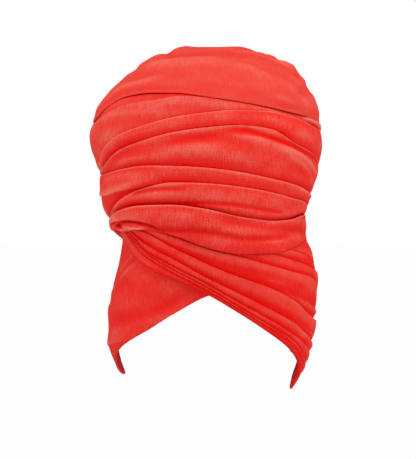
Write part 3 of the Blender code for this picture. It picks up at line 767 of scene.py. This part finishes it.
# The lowest level turn lies over the top of the cross band. Its left end folds
# into a tuck at the temple, with a small dark hollow over a rolled edge.
FRONT_LEVEL = 8.8    # its inside, off the head
FRONT_WALL = 1.1
FRONT_PUFF = 0.4     # of the thickness of its upper fold
HOLE_AZIMUTH, HOLE_HEIGHT = -51.5, -128.6
HOLE_HALF_WIDE, HOLE_HALF_HIGH, HOLE_DEPTH = 6.0, 2.0, 6.0    # degrees, mm, mm
CURL_IN, CURL_REACH = 5.0, 3.6
HEM_ROLL = np.radians(np.array([60, 30, 0, -30, -60]))[:, None]
FRONT_LIP = curve((-180, 40, 66, 100, 130, 180), (1.9, 1.9, 0.9, 0.9, 1.9, 1.9),
                  RING)[None, :]
high, body, out, roll_climb, roll_level = turn_rows(
    ring["front_top"], ring["front_hem"], ring["front_hem"], 0.4, FRONT_LEVEL, None,
    FRONT_LIP, 0.0, 2.0, FRONT_LIP * FRONT_PUFF, FRONT_FOLDS, 25)
foot = climb_at(ring["front_hem"])[None, :]
# at the left side its lower part curls in to the turn beneath
curl = curve((-140, -112, -60, -47), (0, 1, 1, 0), RING)[None, :]
out = out - CURL_IN * curl * np.exp(-((body - foot) / CURL_REACH) ** 1.6)
spot = (((RING[None, :] - HOLE_AZIMUTH) / HOLE_HALF_WIDE) ** 2
        + ((body - climb_at(HOLE_HEIGHT)) / HOLE_HALF_HIGH) ** 2)
out = out - HOLE_DEPTH * np.exp(-spot ** 1.6)
half = FRONT_WALL / 2
hem_climb = foot - half * np.cos(HEM_ROLL)
hem_level = out[-1:] - half + half * np.sin(HEM_ROLL)
inside = foot + (high - 0.9 - foot) * np.linspace(0.04, 0.97, 16)[:, None]
inside_level = np.stack([
    np.interp(inside[:, c], body[::-1, c], out[::-1, c])
    for c in range(len(RING))], axis=1) - FRONT_WALL
inside_level = np.minimum(inside_level, FRONT_LEVEL)
climb = np.concatenate([roll_climb, body, hem_climb, inside])
level = np.concatenate([roll_level, out, hem_level, inside_level])
front = cloth("front_turn", RING, climb, level, len(roll_climb) + len(body),
              len(roll_climb))
# The front turn's deep colour is darker than the other turns': painted shade in its
# creases and in the hollow of the tuck.
finish_cloth(front, "front_band", "front_jersey",
             jersey("front_cloth", (0.66, 0.001, 0.001), (0.89, 0.033, 0.023),
                    (0.93, 0.240, 0.175)))


# The pleated band leaves the tuck, crosses the brow down to the right ear and
# goes on round the nape. Each pleat laps over the one above, and the pleats
# spread towards the ear.
PLEATS = {
    # heights of the pleats' upper folds at CROSS_AZIMUTHS, from the top down
    "top": (-125.5, -125.5, -126, -126, -126.5, -127, -131, -137, -142, -142,
            -138, -136, -136, -139, -143, -149, -158, -164),
    "lobe": (-125.9, -125.9, -126.5, -126.8, -127.4, -128.2, -132.5, -139, -145,
             -149, -152.8, -156.5, -161.5, -164, -165, -163.5, -161, -164.5),
    "petal": (-126.2, -126.3, -127, -127.6, -128.4, -129.5, -134, -141.5, -148.5,
              -154, -160, -165, -168.5, -171, -172, -169, -163, -165),
    "deep": (-126.9, -127.1, -128, -129, -130, -131.5, -139, -148.6, -155.5,
             -162.5, -168.2, -171.5, -178, -188, -191, -184, -169.5, -166.5),
    "first": (-127.6, -127.9, -129, -130.4, -132, -134.6, -147.6, -159.8, -170,
              -178.6, -188.5, -199.6, -204.5, -206, -207, -197, -180, -169),
    "second": (-128.2, -128.4, -129.6, -131.4, -136, -144.6, -156, -169.9, -182.4,
               -194.4, -205.2, -215, -221, -223, -224, -209, -187, -172),
    "third": (-128.8, -129, -130.3, -133, -140, -150.2, -161.6, -174.5, -189.2,
              -202.4, -214, -223, -229, -231.5, -233, -217, -192, -174.5),
    "fourth": (-129.4, -129.6, -131, -135, -143, -151.6, -163.8, -177.2, -192.5,
               -206.8, -218.2, -230, -237.5, -240.5, -242, -225, -198, -177),
    "fifth": (-130, -130.3, -131.6, -137.5, -146, -154.4, -166.6, -179.8, -194.4,
              -209.2, -221.5, -233.4, -244, -249.5, -252, -232, -203, -179.5),
    "hem": CROSS_HEM,
}
CRESTS = {
    # how far each pleat's fold stands out at CROSS_AZIMUTHS, and the level of
    # the crease above it
    "top": ((0.5, 0.5, 0.7, 1.2, 1.4, 1.4, 1.5, 1.5, 1.5, 1.5, 1.7, 2.0, 2.6,
             3.2, 3.2, 2.4, 1.5, 1.2), 1.2),
    "lobe": ((0.5, 0.5, 0.7, 1.2, 1.4, 1.4, 1.5, 1.5, 1.5, 1.6, 1.8, 1.8, 1.3,
              0.9, 0.9, 1.0, 1.2, 1.0), 0.5),
    "petal": ((0.6, 0.6, 0.8, 1.2, 1.4, 1.5, 1.6, 1.6, 1.8, 2.2, 2.4, 2.6, 2.6,
               2.6, 2.6, 2.4, 1.6, 1.2), 1.0),
    "deep": ((0.6, 0.6, 0.8, 1.2, 1.5, 1.8, 2.2, 2.4, 2.6, 2.8, 3.0, 2.8, 2.4,
              1.2, 1.2, 1.2, 1.2, 1.2), 0.5),
    "first": ((0.6, 0.6, 0.8, 1.3, 1.8, 2.1, 2.4, 2.6, 2.7, 2.8, 3.0, 3.4, 3.8,
               3.8, 3.2, 2.4, 2.0, 1.3), 0.5),
    "second": ((0.7, 0.7, 0.9, 1.4, 2.0, 2.3, 2.5, 2.6, 2.6, 2.7, 2.9, 2.9, 2.6,
                2.2, 2.2, 2.2, 2.0, 1.3), 1.2),
    "third": ((0.7, 0.7, 0.9, 1.5, 2.1, 2.4, 2.5, 2.5, 2.5, 2.7, 2.8, 3.0, 2.9,
               2.6, 2.4, 2.2, 2.0, 1.3), 1.3),
    "fourth": ((0.8, 0.8, 1.0, 1.8, 2.4, 2.5, 2.5, 2.4, 2.4, 2.5, 2.6, 2.8, 2.8,
                2.7, 2.4, 2.2, 2.0, 1.3), 1.3),
    "fifth": ((0.9, 1.0, 1.4, 2.4, 2.6, 2.5, 2.2, 2.1, 2.0, 2.1, 2.2, 2.4, 2.5,
               2.5, 2.4, 2.2, 2.0, 1.3), 1.3),
}
CROSS_FOLDS = (
    # azimuths, heights there, rise, spread above and below
    ((33, 38, 44, 54.5, 66, 80, 100), climbs((-179.5, -181.5, -185, -190, -195,
                                             -198, -200)), 1.5, 0.6, 4.0),
    ((34, 37, 42.5, 52.5, 61.5, 80), climbs((-198, -199.7, -203.2, -208.2, -212.4,
                                            -219)), 1.0, 0.5, 3.0),
    ((-16, 0, 22, 45, 60), climbs((-150, -157, -166, -175, -184)), -0.5, 3.0, 3.0),
    ((46, 58, 70, 84), climbs((-209.5, -215, -221, -226)), 0.8, 0.5, 2.5),
    ((24, 45, 60, 78), climbs((-150, -153, -155, -158)), 0.9, 3.0, 3.0),
)
# columns of the band, closest together at the tuck
CROSS_RING = np.concatenate([[-84, -83.4], np.arange(-82.4, -54, 1.2),
                             np.arange(-54, -30, 0.4), np.arange(-30, 96, 0.8),
                             np.arange(96, 180, 1.5), [180]])
CROSS_COLUMNS = CROSS_RING[None, :]
# its left end lies flat and narrow, inside the curl of the turn over it
CROSS_LOW, CROSS_LIFT = 5.3, 0.9
cross_base = CROSS_LOW + CROSS_LIFT * curve((-62, -48), (0, 1), CROSS_COLUMNS)
# a pleat's fold rolls over: how far above its line each row lies, and what
# part of the crest it has
PLEAT_ROLL = ((0.9, 0.0), (0.5, 0.10), (0.12, 0.32), (-0.12, 0.6), (-0.1, 0.85),
              (0.3, 1.0))
PLEAT_ROWS = 13
PLEAT_SWELL, PLEAT_FOOT = 0.35, 0.3
# the hem rolls in: how far above the hem each row lies, and its level
CROSS_HEM_ROLL = ((-0.5, 1.6), (-0.1, 1.35), (0.05, 0.9), (-0.1, 0.4), (-0.5, 0.1))
CROSS_LEAST = 0.5
lines = [climb_at(curve(CROSS_AZIMUTHS, PLEATS[key], CROSS_RING))[None, :]
         for key in PLEATS]
climb_rows = []
level_rows = []
for place, key in enumerate(list(PLEATS)[:-1]):
    upper, lower = lines[place], lines[place + 1]
    crest = curve(CROSS_AZIMUTHS, CRESTS[key][0], CROSS_COLUMNS)
    crease = np.minimum(CRESTS[key][1], crest - 0.3)
    small = np.clip((upper - lower) / 6, 0.06, 1.0)
    if place == 0:
        climb_rows += [upper, upper]
        level_rows += [np.full_like(crest, 0.4), crest]
    else:
        for drop, share in PLEAT_ROLL:
            climb_rows.append(upper - drop * small)
            level_rows.append(crease + (crest - crease) * share)
    start, end = upper - 0.3 * small, lower + 0.6 * small
    foot = crease + (crest - crease) * PLEAT_FOOT
    for part in np.linspace(0.06, 1, PLEAT_ROWS):
        row = start + (end - start) * part
        swell = PLEAT_SWELL * small * math.sin(math.pi * part)
        rise = crest + (foot - crest) * part ** 2.2 + swell
        rise = rise + fold_rise(CROSS_FOLDS,
                                np.broadcast_to(CROSS_RING, row.shape), row)
        climb_rows.append(row)
        level_rows.append(np.maximum(rise, CROSS_LEAST))
hem = lines[-1]
outside = len(climb_rows)
for drop, thick in CROSS_HEM_ROLL:
    climb_rows.append(hem - drop * np.clip((CROSS_COLUMNS + 62) / 16, 0.3, 1))
    level_rows.append(thick * np.clip((CROSS_COLUMNS + 66) / 16, 0.4, 1))
for part in np.linspace(0.03, 1, 26):
    climb_rows.append(hem + (lines[0] - hem) * part)
    level_rows.append(np.zeros_like(hem))
climb = np.concatenate(climb_rows)
level = np.concatenate(level_rows) + cross_base
# the turn above presses the band flat, and lets it rise below its hem
PRESS_GAP, PRESS_SLOPE, PRESS_MOST = 0.9, 1.2, 9
press = climb_at(around(TURNS["front_hem"], CROSS_COLUMNS))
press = FRONT_LEVEL - PRESS_GAP + np.clip((press - 0.5 - climb) * PRESS_SLOPE, 0,
                                          PRESS_MOST)
level = np.minimum(level, press)
cross = cloth("cross_band_pleats", CROSS_RING, climb, level, outside,
              closed=False)
# The cross band's colours are a deeper copy of the jersey: painted shade on the lower
# band, which takes less light from overhead.
finish_cloth(cross, "cross_band", "cross_jersey",
             jersey("cross_cloth_shaded", (0.86, 0.001, 0.001), (0.88, 0.014, 0.010),
                    (0.91, 0.125, 0.090)))


# The last turn comes round the nape and up the left side, smooth and flat, and
# goes under the cross band at the brow. Soft folds slant down over the cheek,
# and near the ear the hem is turned under.
PANEL_LEVEL = 2.8    # its inside, off the head
# thickness of the cloth: plain, least, most, and at the upper edge
PANEL_WALL, PANEL_LEAST, PANEL_MOST, PANEL_EDGE = 1.9, 0.6, 3.0, 1.0
PANEL_RIPPLE = 0.05
# heights of its upper edge at PANEL_AZIMUTHS
PANEL_TOP = (-152, -160, -164, -156, -138, -137, -132.5, -130.5, -130, -134, -146,
             -156, -168, -180)
PANEL_FOLDS = (
    # azimuths, heights there, rise, spread above and below
    ((-84, -71, -62, -49, -34), climbs((-189, -182, -175, -167, -156)), 0.8, 0.9, 4.5),
    ((-80, -65, -54, -40), climbs((-180, -171, -163, -150)), 0.6, 0.8, 3.5),
    ((-72, -59.5, -39.5, -29, -20.5, -13, -4),
     climbs((-209, -206, -201, -197.5, -193.5, -187, -177)), -1.1, 7.0, 4.5),
    ((-110, -90, -75, -65, -53.5, -44.5), climbs((-229, -226, -224.6, -223.6,
                                                 -221, -219)), 0.9, 8.0, 0.5),
    ((-179, -150, -120, -95, -75), climbs((-182, -186, -192, -196, -200)), 0.8, 0.8,
     7.0),
    ((-179, -150, -120, -100), climbs((-204, -210, -220, -226)), 0.8, 0.8, 7.0),
    ((-179, -145, -115, -95), climbs((-172, -170, -164, -158)), 0.7, 0.8, 7.0),
)
PANEL_RING = np.concatenate([[-240], np.arange(-238.5, -96, 1.5),
                             np.arange(-96, 11.6, 0.8), [12]])
high = climb_at(curve(PANEL_AZIMUTHS, PANEL_TOP, PANEL_RING))[None, :]
foot = climb_at(curve(PANEL_AZIMUTHS, PANEL_HEM, PANEL_RING))[None, :]
part = np.concatenate([np.linspace(0, 0.97, 90), [0.98, 0.99, 0.996]])[:, None]
body = high + (foot - high) * part
out = (PANEL_LEVEL + PANEL_WALL
       + fold_rise(PANEL_FOLDS, np.broadcast_to(PANEL_RING, body.shape), body)
       + ripples(PANEL_RING[None, :], body, 31, PANEL_RIPPLE))
out = np.clip(out, PANEL_LEVEL + PANEL_LEAST, PANEL_LEVEL + PANEL_MOST)
out[0] = PANEL_LEVEL + PANEL_EDGE
half = (out[-1:] - PANEL_LEVEL) / 2
hem_climb = foot + half * (1 - np.cos(HEM_ROLL))
hem_level = PANEL_LEVEL + half + half * np.sin(HEM_ROLL)
inside = foot + (high - foot) * np.linspace(0.03, 1, 30)[:, None]
climb = np.concatenate([body, hem_climb, inside])
level = np.concatenate([out, hem_level, np.full_like(inside, PANEL_LEVEL)])
panel = cloth("side_turn", PANEL_RING, climb, level, len(body), closed=False)
finish_cloth(panel, "side_panel", "panel_jersey",
             jersey("panel_cloth", (0.87, 0.001, 0.001), (0.88, 0.033, 0.023),
                    (0.92, 0.210, 0.150)))


# A pale matt floor of painted board, well below the wrap, which stays up as a
# head holds it. The floor looks as bright as the white room behind it.
FLOOR_HEIGHT = -0.42
FLOOR_SIDE = 60.0
FLOOR_GREY, FLOOR_GLOW = 0.85, 0.98
bpy.ops.mesh.primitive_plane_add(size=FLOOR_SIDE, location=(0, 0, FLOOR_HEIGHT))
floor = bpy.context.object
floor.name = "floor"
pale = bpy.data.materials.new("floor_pale")
pale.use_nodes = True
tree = pale.node_tree
matt = tree.nodes["Principled BSDF"]
matt.inputs["Base Color"].default_value = (FLOOR_GREY,) * 3 + (1,)
matt.inputs["Roughness"].default_value = 0.9
ray = Shade(tree, tree.nodes.new("ShaderNodeLightPath").outputs["Is Camera Ray"])
white = Shade(tree, ray.node("ShaderNodeEmission").outputs[0])
mix = ray.node("ShaderNodeMixShader", None,
               {0: ray * FLOOR_GLOW, 1: Shade(tree, matt.outputs[0]), 2: white})
tree.links.new(mix.outputs[0], tree.nodes["Material Output"].inputs[0])
floor.data.materials.append(pale)
floor.select_set(False)


# Soft studio light: a white room, a wide soft light overhead and one at each
# side, a little in front.
SEEN_STRENGTH, LIT_STRENGTH = 1.0, 0.385    # of the room, seen and as a light
world = bpy.data.worlds.new("studio")
bpy.context.scene.world = world
world.use_nodes = True
tree = world.node_tree
tree.nodes.clear()
ray = Shade(tree, tree.nodes.new("ShaderNodeLightPath").outputs["Is Camera Ray"])
seen, lit = [
    Shade(tree, ray.node("ShaderNodeBackground", None,
                         {"Color": (1, 1, 1, 1), "Strength": strength}).outputs[0])
    for strength in (SEEN_STRENGTH, LIT_STRENGTH)]
mix = ray.node("ShaderNodeMixShader", None, {0: ray, 1: lit, 2: seen})
tree.links.new(mix.outputs[0], ray.node("ShaderNodeOutputWorld").inputs[0])
LIGHTS_AIM = (0.0, 0.0, -0.13)
LIGHTS = (
    # name, place, size and power of each soft light, in metres and watts
    ("overhead", (0.0, -0.75, 1.2), 1.2, 12.9),
    ("left", (-1.4, -0.45, 0.1), 1.1, 6.6),
    ("right", (1.4, -0.45, 0.1), 1.1, 7.4),
)
for name, place, size, power in LIGHTS:
    lamp = bpy.data.lights.new(name, "AREA")
    lamp.shape = "SQUARE"
    lamp.size = size
    lamp.energy = power
    light = bpy.data.objects.new(name, lamp)
    aim = np.array(LIGHTS_AIM) - np.array(place)
    light.location = place
    light.rotation_euler = (
        math.atan2(math.hypot(aim[0], aim[1]), -aim[2]), 0,
        math.atan2(aim[0], -aim[1]) + math.pi)
    bpy.context.scene.collection.objects.link(light)
bpy.context.scene.view_settings.view_transform = "Standard"
